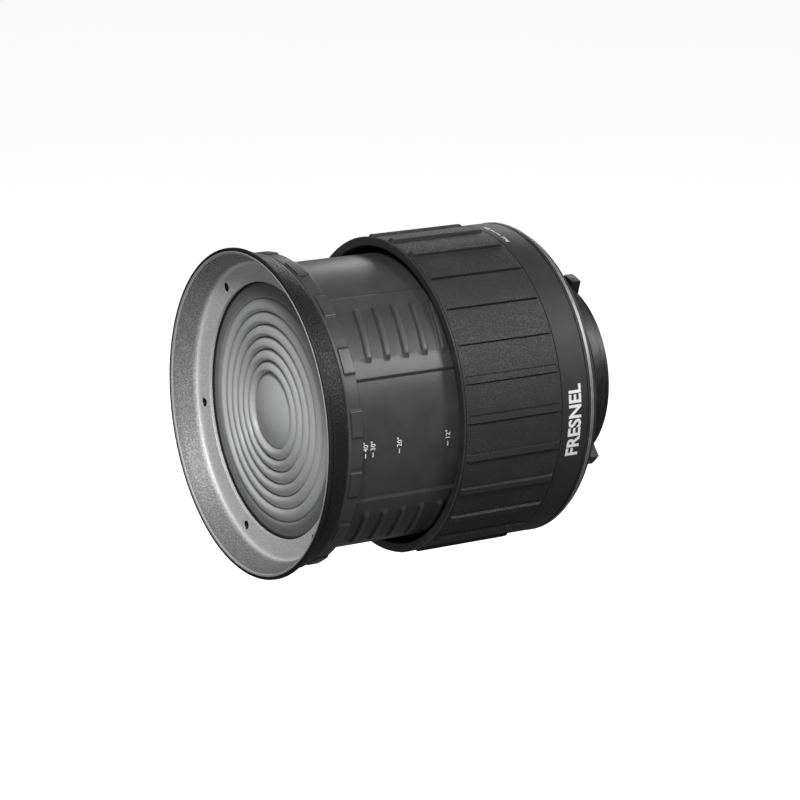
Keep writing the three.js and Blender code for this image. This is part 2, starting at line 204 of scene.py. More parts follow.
def turned(outline: np.ndarray, painted_light: np.ndarray, theta: np.ndarray, relief: np.ndarray | float = 0.0,
           shift: np.ndarray | float = 0.0, poles: bool = False) -> Surface:
    """Surface of revolution round the axis: (r cos theta, y, r sin theta), with r = radius + relief and y = y + shift.

    Args:
        outline: Points of radius and position along the axis, once round the section.
        painted_light: Painted light at each outline point.
        theta: Angles of the grid's rows.
        relief: Added to the radius, by row and column.
        shift: Added to the position along the axis, by row and column.
        poles: Whether the outline starts and ends on the axis.

    Returns:
        The surface.
    """
    a = np.radians(theta)[:, None]
    r = outline[None, :, 0] + relief + 0 * a
    y = outline[None, :, 1] + shift + 0 * a
    points = np.stack([r * np.cos(a), y, r * np.sin(a)], -1)
    return Surface(points, np.broadcast_to(painted_light, r.shape).copy(), True, not poles)


def local_turned(outline: np.ndarray, painted_light: np.ndarray, radius: float, angle: float, theta: np.ndarray,
                 relief: np.ndarray | float = 0.0) -> Surface:
    """A small turned piece with poles, whose own axis is parallel to the optical axis.

    Args:
        outline: Points of its own radius and position along the axis.
        painted_light: Painted light at each outline point.
        radius: Distance of its axis from the optical axis.
        angle: Angle of its axis.
        theta: Angles of the grid's rows.
        relief: Added to its own radius, by row and column.

    Returns:
        The surface.
    """
    surface = turned(outline, painted_light, theta, relief, poles=True)
    a = np.radians(angle)
    surface.points = surface.points + np.array([radius * np.cos(a), 0, radius * np.sin(a)])
    return surface


# ---- pieces ----


def to_mesh(name: str, surfaces: list[Surface], sharp: float) -> bpy.types.Mesh:
    """One mesh from grids, with poles and doubles merged and faces pointing outwards.

    Args:
        name: Name of the mesh.
        surfaces: The grids, each of them a closed surface.
        sharp: Angle in degrees above which an edge stays sharp.

    Returns:
        The mesh, in metres.
    """
    starts = np.cumsum([0] + [s.painted_light.size for s in surfaces])
    points = np.concatenate([s.points.reshape(-1, 3) for s in surfaces]) * MM
    faces = np.concatenate([s.faces() + start for s, start in zip(surfaces, starts)])
    mesh = bpy.data.meshes.new(name)
    mesh.from_pydata(points.tolist(), [], faces.tolist())
    painted_light = mesh.attributes.new("painted_light", "FLOAT", "POINT")
    painted_light.data.foreach_set("value", np.concatenate([s.painted_light.ravel() for s in surfaces]).astype(np.float32))
    tidy(mesh, sharp)
    return mesh


def tidy(mesh: bpy.types.Mesh, sharp: float, doubles: float = 2e-7) -> None:
    """Merges doubles, drops flat faces, turns the faces outwards and sets smooth shading.

    Args:
        mesh: The mesh.
        sharp: Angle in degrees above which an edge stays sharp.
        doubles: Distance in metres under which points merge.
    """
    work = bmesh.new()
    work.from_mesh(mesh)
    bmesh.ops.remove_doubles(work, verts=work.verts, dist=doubles)
    bmesh.ops.dissolve_degenerate(work, dist=doubles, edges=work.edges)
    bmesh.ops.recalc_face_normals(work, faces=work.faces)
    if work.calc_volume(signed=True) < 0:
        bmesh.ops.reverse_faces(work, faces=work.faces)
    work.to_mesh(mesh)
    work.free()
    mesh.shade_smooth()
    mesh.set_sharp_from_angle(angle=np.radians(sharp))


# By default every corner gets a painted highlight.
def ring_mesh(name: str, corners: list[tuple[float, float]], cut: float | list[float],
              edge: float | list[float] = 1.0, sharp: float = SHARP, count: int = ROUND) -> bpy.types.Mesh:
    """A turned ring with rounded corners.

    Args:
        name: Name of the mesh.
        corners: Points of radius and position along the axis.
        cut: Distance cut at each corner, one for all or one each.
        edge: Painted light of each corner, as in rounded.
        sharp: Angle in degrees above which an edge stays sharp.
        count: Number of facets round it.

    Returns:
        The mesh, in metres.
    """
    outline, painted_light = rounded(corners, cut, edge=edge)
    return to_mesh(name, [turned(outline, painted_light, spread(count))], sharp)


def carve(mesh: bpy.types.Mesh, cutters: list[Surface], sharp: float) -> bpy.types.Mesh:
    """The mesh with closed cutters taken away from it.

    Args:
        mesh: The mesh to cut.
        cutters: Closed surfaces.
        sharp: Angle in degrees above which an edge stays sharp.

    Returns:
        A new mesh.
    """
    scene = bpy.context.scene.collection
    stock = bpy.data.objects.new("stock", mesh)
    knife = bpy.data.objects.new("knife", to_mesh("knife", cutters, sharp))
    scene.objects.link(stock)
    scene.objects.link(knife)
    cut = stock.modifiers.new("cut", "BOOLEAN")
    cut.operation, cut.solver, cut.object = "DIFFERENCE", "EXACT", knife
    graph = bpy.context.evaluated_depsgraph_get()
    result = bpy.data.meshes.new_from_object(stock.evaluated_get(graph))
    bpy.data.objects.remove(stock)
    bpy.data.objects.remove(knife)
    tidy(result, sharp)
    return result


class Body(Enum):
    """The three bodies of the frame."""

    BASE = "base"
    FOCUS = "focus_ring"
    BARREL = "barrel"


@dataclass
class Assembly:
    """A sub-assembly that rides on one body. It adds its pieces with their finish and the nodes they stand for."""

    finish: "Finishes"
    body: Body

    def add(self, name: str, mesh: bpy.types.Mesh, material: bpy.types.Material, slot: str, *nodes: str) -> None:
        """Puts a mesh into the scene as a finished piece.

        Args:
            name: Name of the piece.
            mesh: Its mesh, in place.
            material: Its finish.
            slot: Material slot of the record; not used.
            nodes: Nodes that it stands for.
        """
        piece = bpy.data.objects.new(name, mesh)
        bpy.context.scene.collection.objects.link(piece)
        mesh.materials.clear()
        mesh.materials.append(material)
        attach(piece, self.body.value)
        if nodes:
            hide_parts(*nodes)
        log.info("%s: %d faces", name, len(mesh.polygons))

    def add_screws(self, kind: str, screws: "SocketScrews", material: bpy.types.Material) -> None:
        """Adds a ring of screws, each of them standing for its own node.

        Args:
            kind: Name of the screws' nodes without the number.
            screws: The screws.
            material: Their finish.
        """
        for i in range(len(screws.angles)):
            name = f"{kind}_{i + 1}"
            self.add(f"{name}_head", screws.mesh(name, i), material, "steel", name)

    def dress(self, material: bpy.types.Material, *nodes: str) -> None:
        """Gives carried-over nodes their finish.

        Args:
            material: The finish.
            nodes: The nodes.
        """
        for node in nodes:
            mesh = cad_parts[node].data
            mesh.materials.clear()
            mesh.materials.append(material)
            log.info("%s: dressed", node)


# ---- shader nodes ----


class Value:
    """A number socket that can be used in arithmetic; each operator adds one Math node."""

    def __init__(self, graph: "Graph", socket: bpy.types.NodeSocket) -> None:
        """Wraps a socket of a graph."""
        self.graph = graph
        self.socket = socket

    def math(self, operation: str, *others: "Value | float", first: bool = True) -> "Value":
        """Adds a Math node.

        Args:
            operation: Its operation.
            others: The other values.
            first: Whether this value comes first.

        Returns:
            The result.
        """
        values = [self, *others] if first else [*others, self]
        return self.graph.node("ShaderNodeMath", {"operation": operation}, dict(enumerate(values)))

    def __add__(self, other: "Value | float") -> "Value":
        """Sum."""
        return self.math("ADD", other)

    __radd__ = __add__

    def __mul__(self, other: "Value | float") -> "Value":
        """Product."""
        return self.math("MULTIPLY", other)

    __rmul__ = __mul__

    def __sub__(self, other: "Value | float") -> "Value":
        """Difference."""
        return self.math("SUBTRACT", other)

    def __rsub__(self, other: "Value | float") -> "Value":
        """Reflected difference."""
        return self.math("SUBTRACT", other, first=False)

    def __pow__(self, other: "Value | float") -> "Value":
        """Power."""
        return self.math("POWER", other)

    def ramp(self, low: float, high: float, start: float = 0.0, end: float = 1.0) -> "Value":
        """Smooth map from low..high to start..end."""
        settings = {"interpolation_type": "SMOOTHSTEP"}
        return self.graph.node("ShaderNodeMapRange", settings, {0: self, 1: low, 2: high, 3: start, 4: end})


class Graph:
    """The nodes of one material, built round one Principled shader."""

    def __init__(self, name: str) -> None:
        """Makes an empty material with a shader and an output.

        Args:
            name: Name of the material.
        """
        self.material = bpy.data.materials.new(name)
        self.material.use_nodes = True
        self.tree = self.material.node_tree
        self.tree.nodes.clear()
        self.shader = self.tree.nodes.new("ShaderNodeBsdfPrincipled")
        output = self.tree.nodes.new("ShaderNodeOutputMaterial")
        self.tree.links.new(self.shader.outputs[0], output.inputs["Surface"])

    def node(self, kind: str, settings: dict, inputs: dict, output: int | str = 0) -> Value:
        """Adds a node.

        Args:
            kind: Its type.
            settings: Its settings.
            inputs: Its sockets by name or number, as values or links.
            output: The output that is wanted.

        Returns:
            That output.
        """
        made = self.tree.nodes.new(kind)
        for key, value in settings.items():
            setattr(made, key, value)
        for key, value in inputs.items():
            self.feed(made.inputs[key], value)
        return Value(self, made.outputs[output])

    def feed(self, socket: bpy.types.NodeSocket, value: "Value | float | tuple") -> None:
        """Links a value to a socket, or sets it.

        Args:
            socket: The input.
            value: What it gets; a triple is a colour.
        """
        if isinstance(value, Value):
            self.tree.links.new(value.socket, socket)
        elif isinstance(value, tuple) and len(value) == 3 and socket.type == "RGBA":
            socket.default_value = (*value, 1)
        else:
            socket.default_value = value

    def set(self, **sockets: "Value | float | tuple") -> bpy.types.Material:
        """Sets or links sockets of the shader.

        Args:
            sockets: Values by socket name, with _ for a space.

        Returns:
            The material.
        """
        for name, value in sockets.items():
            self.feed(self.shader.inputs[name.replace("_", " ")], value)
        return self.material

    def place(self) -> Value:
        """Object coordinates, in metres."""
        return self.node("ShaderNodeTexCoord", {}, {}, "Object")

    def painted_light(self) -> Value:
        """Painted light stored on the mesh, from -1 for painted shade in creases to 1 for a painted highlight on edges.
        """
        return self.node("ShaderNodeAttribute", {"attribute_name": "painted_light"}, {}, "Fac")

    def edge(self) -> Value:
        """Strength of the painted highlight on an edge, from 0 to 1."""
        return self.painted_light().ramp(0.1, 1.0)

    def crease(self) -> Value:
        """Strength of the painted shade in a crease, from 0 to 1."""
        return (0 - self.painted_light()).ramp(0.05, 0.9)

    def noise(self, size: float, detail: float = 2.0, roughness: float = 0.5) -> Value:
        """Noise from 0 to 1 with features of a size in millimetres."""
        inputs = {"Vector": self.place(), "Scale": 1 / (size * MM), "Detail": detail, "Roughness": roughness}
        return self.node("ShaderNodeTexNoise", {}, inputs)

    def cells(self, size: float, feature: str = "F1") -> Value:
        """Distance pattern of cells of a size in millimetres."""
        inputs = {"Vector": self.place(), "Scale": 1 / (size * MM)}
        return self.node("ShaderNodeTexVoronoi", {"feature": feature}, inputs, "Distance")

    def mix(self, factor: "Value | float", first: "Value | tuple", second: "Value | tuple") -> Value:
        """Colour between first and second."""
        inputs = {0: factor, 6: first, 7: second}
        return self.node("ShaderNodeMix", {"data_type": "RGBA"}, inputs, 2)

    def bump(self, height: Value, depth: float, under: Value | None = None) -> Value:
        """Normal bumped by a height from 0 to 1 that stands for a depth in millimetres.

        Args:
            height: The height.
            depth: What a height of 1 stands for.
            under: Normal that is bumped further, or None.

        Returns:
            The normal.
        """
        inputs = {"Height": height, "Distance": depth * MM, "Strength": 1.0}
        if under:
            inputs["Normal"] = under
        return self.node("ShaderNodeBump", {}, inputs)

    def radius(self) -> Value:
        """Distance from the optical axis in millimetres, (x^2 + z^2)^0.5."""
        x, z = (self.node("ShaderNodeSeparateXYZ", {}, {0: self.place()}, i) for i in (0, 2))
        return (x * x + z * z) ** 0.5 * (1 / MM)


# ---- finishes ----


@dataclass(frozen=True)
class Moulded:
    """Moulded plastic or painted metal: eggshell grain, faint mottling, a painted highlight on edges, which are also
    smoother, and painted shade in creases.
    """

    name: str
    colour: tuple[float, float, float]
    roughness: float = 0.5
    grain: float = 0.35
    depth: float = 0.012
    mottle: float = 0.12
    highlight_gain: float = 1.6
    metallic: float = 0.0

    def material(self) -> bpy.types.Material:
        """Builds the material.

        Returns:
            The material.
        """
        g = Graph(self.name)
        cloud = g.noise(14, 3)
        fine = g.noise(self.grain, 2)
        dark = tuple(c * (1 - self.mottle) for c in self.colour)
        light = tuple(c * (1 + self.mottle) for c in self.colour)
        # Painted highlight: edges get a lighter colour; painted shade: creases go towards black.
        edge = tuple(min(1.0, c * self.highlight_gain + 0.004) for c in self.colour)
        painted_light = g.edge() * g.noise(3, 2).ramp(0.25, 0.75, 0.6, 1.0)
        base = g.mix(painted_light, g.mix(cloud.ramp(0.3, 0.7), dark, light), edge)
        base = g.mix(g.crease() * 0.85, base, tuple(c * 0.15 for c in self.colour))
        rough = fine.ramp(0.3, 0.7, self.roughness - 0.05, self.roughness + 0.05) - painted_light * 0.1 + g.crease() * 0.3
        normal = g.bump(fine, self.depth)
        return g.set(Base_Color=base, Roughness=rough, Metallic=self.metallic, Normal=normal)


@dataclass(frozen=True)
class GripRubber:
    """Moulded rubber with a leather-like grain, matte, with dust caught in the grain, a painted highlight on edges and
    painted shade in creases.
    """

    name: str = "grip_rubber"
    colour: tuple[float, float, float] = (0.021, 0.021, 0.022)
    dust: tuple[float, float, float] = (0.05, 0.05, 0.051)
    cell: float = 0.75
    depth: float = 0.1
    rough: tuple[float, float] = (0.7, 0.52)
    shine: float = 0.5

    def material(self) -> bpy.types.Material:
        """Builds the material.

        Returns:
            The material.
        """
        g = Graph(self.name)
        folds = g.cells(self.cell, "SMOOTH_F1").ramp(0.15, 0.75)
        fine = g.noise(0.2, 3, 0.6)
        cloud = g.noise(20, 3)
        height = folds * 0.7 + fine * 0.3
        colour = g.mix(cloud.ramp(0.35, 0.7, 0.0, 0.4), self.colour, self.dust)
        colour = g.mix(height.ramp(0.2, 0.8), tuple(c * 0.7 for c in self.colour), colour)
        # Painted highlight on edges and painted shade in creases.
        base = g.mix(g.edge() * 0.5, colour, tuple(c * 2.2 for c in self.colour))
        base = g.mix(g.crease() * 0.9, base, tuple(c * 0.1 for c in self.colour))
        rough = height.ramp(0.2, 0.9, self.rough[0], self.rough[1])
        normal = g.bump(height, self.depth)
        return g.set(Base_Color=base, Roughness=rough, Normal=normal, Specular_IOR_Level=self.shine)


@dataclass(frozen=True)
class CastSilver:
    """Silver paint over a rough casting: hammered dimples, painted shade that darkens the bevel, a painted highlight on
    edges and painted shade in creases.
    """

    name: str = "bezel_silver"
    colour: tuple[float, float, float] = (0.9, 0.9, 0.9)
    shade: tuple[float, float, float] = (0.74, 0.74, 0.745)
    bevel_shade: float = 0.4
    bevel: tuple[float, float] = (82.6, 84.2)
    dimple: float = 0.85
    depth: float = 0.08

    def material(self) -> bpy.types.Material:
        """Builds the material.

        Returns:
            The material.
        """
        g = Graph(self.name)
        dimples = g.cells(self.dimple, "SMOOTH_F1").ramp(0.1, 0.8)
        flake = g.noise(0.25, 2)
        height = dimples * 0.7 + flake * 0.3
        ledge = g.mix(height.ramp(0.25, 0.8), self.shade, self.colour)
        # Painted shade: the bevel's colour is made darker by a factor.
        shaded_bevel = g.mix(height.ramp(0.25, 0.8), tuple(c * self.bevel_shade * 0.75 for c in self.shade),
                     tuple(c * self.bevel_shade for c in self.colour))
        base = g.mix(g.radius().ramp(*self.bevel), ledge, shaded_bevel)
        # Painted highlight on edges, painted shade in creases.
        base = g.mix(g.edge() * 0.7, base, (0.9, 0.9, 0.9))
        base = g.mix(g.crease() * 0.9, base, (0.03, 0.03, 0.03))
        rough = flake.ramp(0.3, 0.7, 0.48, 0.64)
        return g.set(Base_Color=base, Roughness=rough, Metallic=0.35, Normal=g.bump(height, self.depth))


@dataclass(frozen=True)
class Machined:
    """Turned metal: fine rings of tool marks round the axis, and a painted highlight on edges."""

    name: str
    colour: tuple[float, float, float]
    roughness: float
    pitch: float = 0.35
    depth: float = 0.006
    metallic: float = 0.9

    def material(self) -> bpy.types.Material:
        """Builds the material.

        Returns:
            The material.
        """
        g = Graph(self.name)
        along = g.node("ShaderNodeSeparateXYZ", {}, {0: g.place()}, 1) * (1 / MM)
        wobble = g.noise(6, 2)
        rings = ((g.radius() + along + wobble * 0.3) * (2 * np.pi / self.pitch)).math("SINE").ramp(-1, 1)
        dark = tuple(c * 0.85 for c in self.colour)
        bright = tuple(min(1.0, c * 1.8) for c in self.colour)
        # Painted highlight: edges get a brighter colour.
        base = g.mix(g.edge(), g.mix(wobble.ramp(0.3, 0.7), dark, self.colour), bright)
        rough = wobble.ramp(0.3, 0.7, self.roughness - 0.06, self.roughness + 0.06)
        return g.set(Base_Color=base, Roughness=rough, Metallic=self.metallic, Normal=g.bump(rings, self.depth))


@dataclass(frozen=True)
class FrostedGlass:
    """Pressed glass with a frosted back: grey, faintly rippled, darker towards the rim, with a painted highlight on
    ridge crests and painted shade in valleys.
    """

    name: str
    inner: tuple[float, float, float]
    outer: tuple[float, float, float]
    turn_dark: tuple[float, float]
    roughness: float = 0.45

    def material(self) -> bpy.types.Material:
        """Builds the material.

        Returns:
            The material.
        """
        g = Graph(self.name)
        ripple = g.noise(5, 2)
        frost = g.noise(0.5, 2)
        base = g.mix(g.radius().ramp(*self.turn_dark), self.inner, self.outer)
        # Painted highlight on crests and painted shade in valleys.
        base = g.mix(g.edge() * 0.5, base, (0.75, 0.76, 0.76))
        base = g.mix(g.crease() * 0.9, base, tuple(c * 0.2 for c in self.outer))
        rough = frost.ramp(0.3, 0.7, self.roughness - 0.05, self.roughness + 0.08)
        normal = g.bump(frost, 0.01, g.bump(ripple, 0.15))
        return g.set(Base_Color=base, Roughness=rough, Normal=normal, Coat_Weight=0.2, Coat_Roughness=0.25, IOR=1.5)


@dataclass(frozen=True)
class Printed:
    """White ink, a little uneven."""

    name: str = "printed_white"
    colour: tuple[float, float, float] = (0.82, 0.82, 0.82)

    def material(self) -> bpy.types.Material:
        """Builds the material.

        Returns:
            The material.
        """
        g = Graph(self.name)
        grain = g.noise(0.3, 2)
        base = g.mix(grain.ramp(0.3, 0.75), tuple(c * 0.85 for c in self.colour), self.colour)
        return g.set(Base_Color=base, Roughness=0.6, Normal=g.bump(grain, 0.01))


@dataclass(frozen=True)
class Felt:
    """Black felt: short fibres and a dull sheen."""

    name: str = "felt_black"
    colour: tuple[float, float, float] = (0.008, 0.008, 0.008)

    def material(self) -> bpy.types.Material:
        """Builds the material.

        Returns:
            The material.
        """
        g = Graph(self.name)
        fibre = g.noise(0.25, 4, 0.7)
        base = g.mix(fibre, self.colour, tuple(c * 2.5 for c in self.colour))
        return g.set(Base_Color=base, Roughness=0.95, Normal=g.bump(fibre, 0.1))


class Finishes:
    """Every finish, built once."""

    def __init__(self) -> None:
        """Builds the materials."""
        self.barrel = Moulded("barrel_plastic", (0.046, 0.046, 0.048), 0.38, 0.4, 0.010).material()
        self.flange = GripRubber("flange_black", (0.012, 0.012, 0.013), (0.018, 0.018, 0.019), 1.0, 0.16,
                                 (0.5, 0.34), 0.28).material()
        # The lip's edges and bore get a strong painted highlight.
        self.lip = Moulded("lip_satin", (0.032, 0.032, 0.033), 0.42, 0.4, 0.010, highlight_gain=3.6).material()
        self.shell = Moulded("body_black", (0.019, 0.019, 0.020), 0.58, 0.45, 0.02).material()
        self.neck = Moulded("neck_black", (0.030, 0.030, 0.031), 0.4, 0.6, 0.012).material()
        self.inner = Moulded("inner_black", (0.008, 0.008, 0.008), 0.75, 0.5, 0.02).material()
        self.white = Moulded("bearing_white", (0.6, 0.58, 0.54), 0.5, 0.5, 0.008, 0.05, 1.1).material()
        self.rubber = GripRubber().material()
        self.silver = CastSilver().material()
        self.trim = Machined("trim_satin", (0.34, 0.34, 0.345), 0.5).material()
        self.mount = Machined("mount_metal", (0.06, 0.06, 0.061), 0.4).material()
        self.steel = Machined("screw_black", (0.018, 0.018, 0.019), 0.45).material()
        self.bright = Machined("steel", (0.45, 0.45, 0.45), 0.3).material()
        self.lens = FrostedGlass("lens_glass", (0.56, 0.565, 0.565), (0.2, 0.203, 0.204), (61.0, 65.0)).material()
        self.rear_lens = FrostedGlass("rear_lens_glass", (0.05, 0.06, 0.062), (0.02, 0.022, 0.024), (20.0, 56.0),
                                      0.12).material()
        self.ink = Printed().material()
        self.felt = Felt().material()


# ---- screws ----


@dataclass
class SocketScrews:
    """A ring of socket-head screws parallel to the axis, each with a hexagonal recess."""

    radius: float
    angles: np.ndarray
    face: float
    side: int
    head: float = 2.4
    shank: float = 1.4
    length: float = 4.4
    socket: float = 1.25
    deep: float = 0.7
    tall: float = 1.9
    cup: float = 0.0

    def mesh(self, name: str, index: int) -> bpy.types.Mesh:
        """One screw. Its outline runs from the bottom of the recess, over the head or its cup and down the shank.

        The recess is a hexagon: its radius at angle a is the flat's distance over cos((a mod 60) - 30).

        Args:
            name: Name of the mesh.
            index: Which of the screws.

        Returns:
            The mesh.
        """
        head = [(0, self.deep), (self.socket, self.deep), (self.socket, 0.15), (self.socket + 0.15, 0.0)]
        rim = [(self.head - 0.25, 0.0), (self.head, 0.25)]
        if self.cup:
            rim = [(self.head - 0.2, 0), (self.head - 0.1, -0.2), (self.head, 0.3 - self.cup),
                   (self.head + 0.18, -self.cup)]
        tail = [(rim[-1][0], self.tall), (self.shank, self.tall), (self.shank, self.length), (0, self.length)]
        r, d = np.array(head + rim + tail, float).T
        outline = np.stack([r, self.face - self.side * d], -1)
        theta = spread(24)
        hexagon = 1 / np.cos(np.radians(theta % 60 - 30)) - 1
        recess = np.concatenate([[0, 1, 1, 0.6], np.zeros(len(r) - 4)])
        relief = hexagon[:, None] * (recess * outline[:, 0])[None, :]
        # Painted highlight round the recess's rim.
        painted_light = np.concatenate([[0, 0, 0, 1, 0.4], np.zeros(len(r) - 5)])
        return to_mesh(name, [local_turned(outline, painted_light, self.radius, self.angles[index], theta, relief)], 30)


# ---- markings ----


def wrapped(name: str, flat: list[bpy.types.Mesh], radius: float, angle: float, along: float) -> bpy.types.Mesh:
    """Flat artwork laid on a cylinder: its x runs round towards +theta, its y towards the front, its z outwards.

    theta = angle + x / radius, y = along - y, r = radius + z.

    Args:
        name: Name of the mesh.
        flat: Meshes in millimetres.
        radius: Radius of the cylinder.
        angle: Angle of the artwork's origin.
        along: Position of the artwork's origin along the axis.

    Returns:
        The mesh, in metres.
    """
    work = bmesh.new()
    for mesh in flat:
        work.from_mesh(mesh)
    joined = bpy.data.meshes.new(name)
    work.to_mesh(joined)
    work.free()
    points = np.zeros(len(joined.vertices) * 3, np.float32)
    joined.vertices.foreach_get("co", points)
    x, y, z = points.reshape(-1, 3).T.astype(float)
    theta = np.radians(angle) + x / radius
    r = radius + z
    placed = np.stack([r * np.cos(theta), along - y, r * np.sin(theta)], -1) * MM
    joined.vertices.foreach_set("co", placed.astype(np.float32).ravel())
    joined.update()
    tidy(joined, 40, 1e-6)
    return joined


def bar(x: float, y: float, width: float, height: float, tip: float = 1.0, low: float = -0.05,
        high: float = 0.06) -> bpy.types.Mesh:
    """A flat bar of ink, subdivided along x, centred at x and y. Its height runs evenly from one end to the other.

    Args:
        x: Centre along x.
        y: Centre along y.
        width: Length along x.
        height: Length along y, at the higher end.
        tip: Height at the far end over the height at the near end.
        low: Underside.
        high: Top.

    Returns:
        The mesh, in millimetres.
    """
    section = np.array([[-0.5, low], [0.5, low], [0.5, high], [-0.5, high]])
    steps = np.linspace(-0.5, 0.5, 5)
    xs = np.concatenate([[-0.5], steps, [0.5]])[:, None] * width + x
    scale = np.array([0, 1, 1, 1, 1, 1, 0])[:, None]
    taper = np.concatenate([[0], steps, [0]])[:, None] * (tip - 1) + (tip + 1) / 2
    ys = section[None, :, 0] * height * scale * taper / max(1.0, tip) + y
    zs = section[None, :, 1] * scale + (1 - scale) * (low + high) / 2
    points = np.stack([np.broadcast_to(xs, ys.shape), ys, zs], -1) / MM
    return to_mesh("bar", [Surface(points, np.zeros(ys.shape), False, True)], 40)


def text(words: str, size: float, bold: float = 0.012, low: float = -0.05, high: float = 0.06) -> bpy.types.Mesh:
    """Lettering made a mesh, starting at x = 0 and centred on y = 0.

    Args:
        words: What it says.
        size: Size of the letters.
        bold: How much thicker the strokes are made, as a share of the size.
        low: Underside.
        high: Top.

    Returns:
        The mesh, in millimetres.
    """
    curve = bpy.data.curves.new("text", "FONT")
    curve.body = words
    curve.size = size
    curve.extrude = (high - low) / 2
    curve.offset = size * bold
    curve.resolution_u = 3
    curve.align_y = "CENTER"
    holder = bpy.data.objects.new("text", curve)
    bpy.context.scene.collection.objects.link(holder)
    graph = bpy.context.evaluated_depsgraph_get()
    mesh = bpy.data.meshes.new_from_object(holder.evaluated_get(graph))
    bpy.data.objects.remove(holder)
    mesh.transform(Matrix.Translation((0, 0, (high + low) / 2)))
    return mesh


# ---- base ----


@dataclass
class RearBase(Assembly):
    """Fixed part: rear plate and cover, neck, bayonet ring with three lugs, and the rear lens."""

    body: Body = Body.BASE
    lugs: tuple[float, ...] = (72.0, 192.0, 312.0)
    lug_half: float = 4.2
    lug_front: float = 2.2
    collar: float = 53.0
    bore: float = 49.0
    mount_screw_radius: float = 56.6
    mount_screw_first: float = 42.0
    cover_screw_radius: float = 76.0
    cover_screw_first: float = 45.0

    def bayonet(self) -> None:
        """Disc, collar and lugs, turned in one piece: the lugs are relief on the collar's outside."""
        disc = Extent.of("bayonet_ring")
        neck = Extent.of("rear_neck")
        lug_radius = 61.0
        rear, seat = disc.rear, 0.0
        corners = [(self.bore, disc.front), (neck.radius, disc.front), (neck.radius, seat), (self.collar, seat),
                   (self.collar, self.lug_front), (self.collar, rear - 0.2), (self.collar - 1.4, rear),
                   (self.bore, rear)]
        outline, painted_light = rounded(corners, [0.4, 0.3, 0.8, 0.05, 0.05, 0.25, 0.4, 0.5])
        on_lug = np.zeros(len(outline))
        on_lug[4 * (STEPS + 1) + 1:6 * (STEPS + 1)] = 1.0
        slope = 0.7
        edges = np.array([[-self.lug_half - slope, -self.lug_half - slope / 2, -self.lug_half, self.lug_half,
                           self.lug_half + slope / 2, self.lug_half + slope]]) + np.array(self.lugs)[:, None]
        theta = lines(spread(ROUND), edges, 0.6, TURN)
        height = sum(plateau(angle_from(theta, a), -self.lug_half, self.lug_half, slope) for a in self.lugs)
        relief = height[:, None] * on_lug[None, :] * (lug_radius - self.collar)
        mesh = to_mesh("bayonet_body", [turned(outline, painted_light, theta, relief)], SHARP)
        angles = spread(6, self.mount_screw_first)
        cutters = [self.counterbore(self.mount_screw_radius, a, disc.front - 1, seat + 1, seat - 2.5) for a in angles]
        self.add("bayonet_body", carve(mesh, cutters, SHARP), self.finish.mount, "mount_metal", "bayonet_ring")
        screws = SocketScrews(self.mount_screw_radius, angles, seat - 0.3, 1, length=8.6)
        self.add_screws("bayonet_screw", screws, self.finish.steel)

    @staticmethod
    def counterbore(radius: float, angle: float, low: float, high: float, step: float) -> Surface:
        """A stepped hole: the shank's hole from low to step, the head's from step to high.

        Args:
            radius: Distance of the hole from the axis.
            angle: Its angle.
            low: Its front end.
            high: Its rear end.
            step: Where it widens.

        Returns:
            The closed surface of what is taken away.
        """
        shank, head = 1.7, 2.75
        outline = np.array([[0, low], [shank, low], [shank, step], [head, step], [head, high], [0, high]])
        return local_turned(outline, np.zeros(len(outline)), radius, angle, spread(32))

    def neck(self) -> None:
        """Plain neck between the plate and the bayonet."""
        neck = Extent.of("rear_neck")
        corners = [(56.0, neck.front), (neck.radius, neck.front), (neck.radius, neck.rear), (51.0, neck.rear),
                   (51.0, -10.8), (56.0, -10.8)]
        mesh = ring_mesh("neck_body", corners, [0.2, 0.3, 0.5, 0.2, 0.2, 0.2])
        self.add("neck_body", mesh, self.finish.neck, "neck_black", "rear_neck")

    def cover(self) -> None:
        """Rear cover plate with a stepped face and four counterbored screws."""
        ext = Extent.of("rear_cover")
        inner = 60.4
        corners = [(inner, ext.front), (ext.radius, ext.front), (ext.radius, ext.rear - 0.9),
                   (ext.radius - 0.9, ext.rear), (82.0, ext.rear), (81.6, ext.rear - 0.6), (80.8, ext.rear - 0.6),
                   (80.4, ext.rear), (66.0, ext.rear), (65.4, ext.rear - 0.5), (inner, ext.rear - 0.5)]
        mesh = ring_mesh("cover_plate", corners, [0.2, 0.2, 0.25, 0.25, 0.1, 0.1, 0.1, 0.1, 0.2, 0.2, 0.2])
        angles = spread(4, self.cover_screw_first)
        reach = (ext.front - 1, ext.rear + 1, ext.rear - 2.2)
        cutters = [self.counterbore(self.cover_screw_radius, a, *reach) for a in angles]
        self.add("cover_plate", carve(mesh, cutters, SHARP), self.finish.shell, "body_black", "rear_cover")
        screws = SocketScrews(self.cover_screw_radius, angles, ext.rear - 0.1, 1, length=4.9)
        self.add_screws("cover_screw", screws, self.finish.steel)

    def glass(self) -> None:
        """Rear lens: a flat rear face and a front that bulges as a parabola, y = front - crown (1 - (r / edge)^2)."""
        ext = Extent.of("rear_lens")
        rim = Extent.of("rear_lens_gasket").radius
        front = ext.rear - 3.2
        crown = front - ext.front
        edge = rim - 3
        r = np.linspace(edge, 0, 24)
        dome = np.stack([r, front - crown * (1 - (r / edge) ** 2)], -1)
        outline = np.concatenate([[[0, ext.rear], [rim * 0.5, ext.rear], [rim - 0.3, ext.rear], [rim, ext.rear - 0.3],
                                   [rim, front + 0.3], [rim - 0.3, front]], dome])
        mesh = to_mesh("rear_lens_body", [turned(outline, np.zeros(len(outline)), spread(128), poles=True)], 30)
        self.add("rear_lens_body", mesh, self.finish.rear_lens, "lens_glass", "rear_lens")

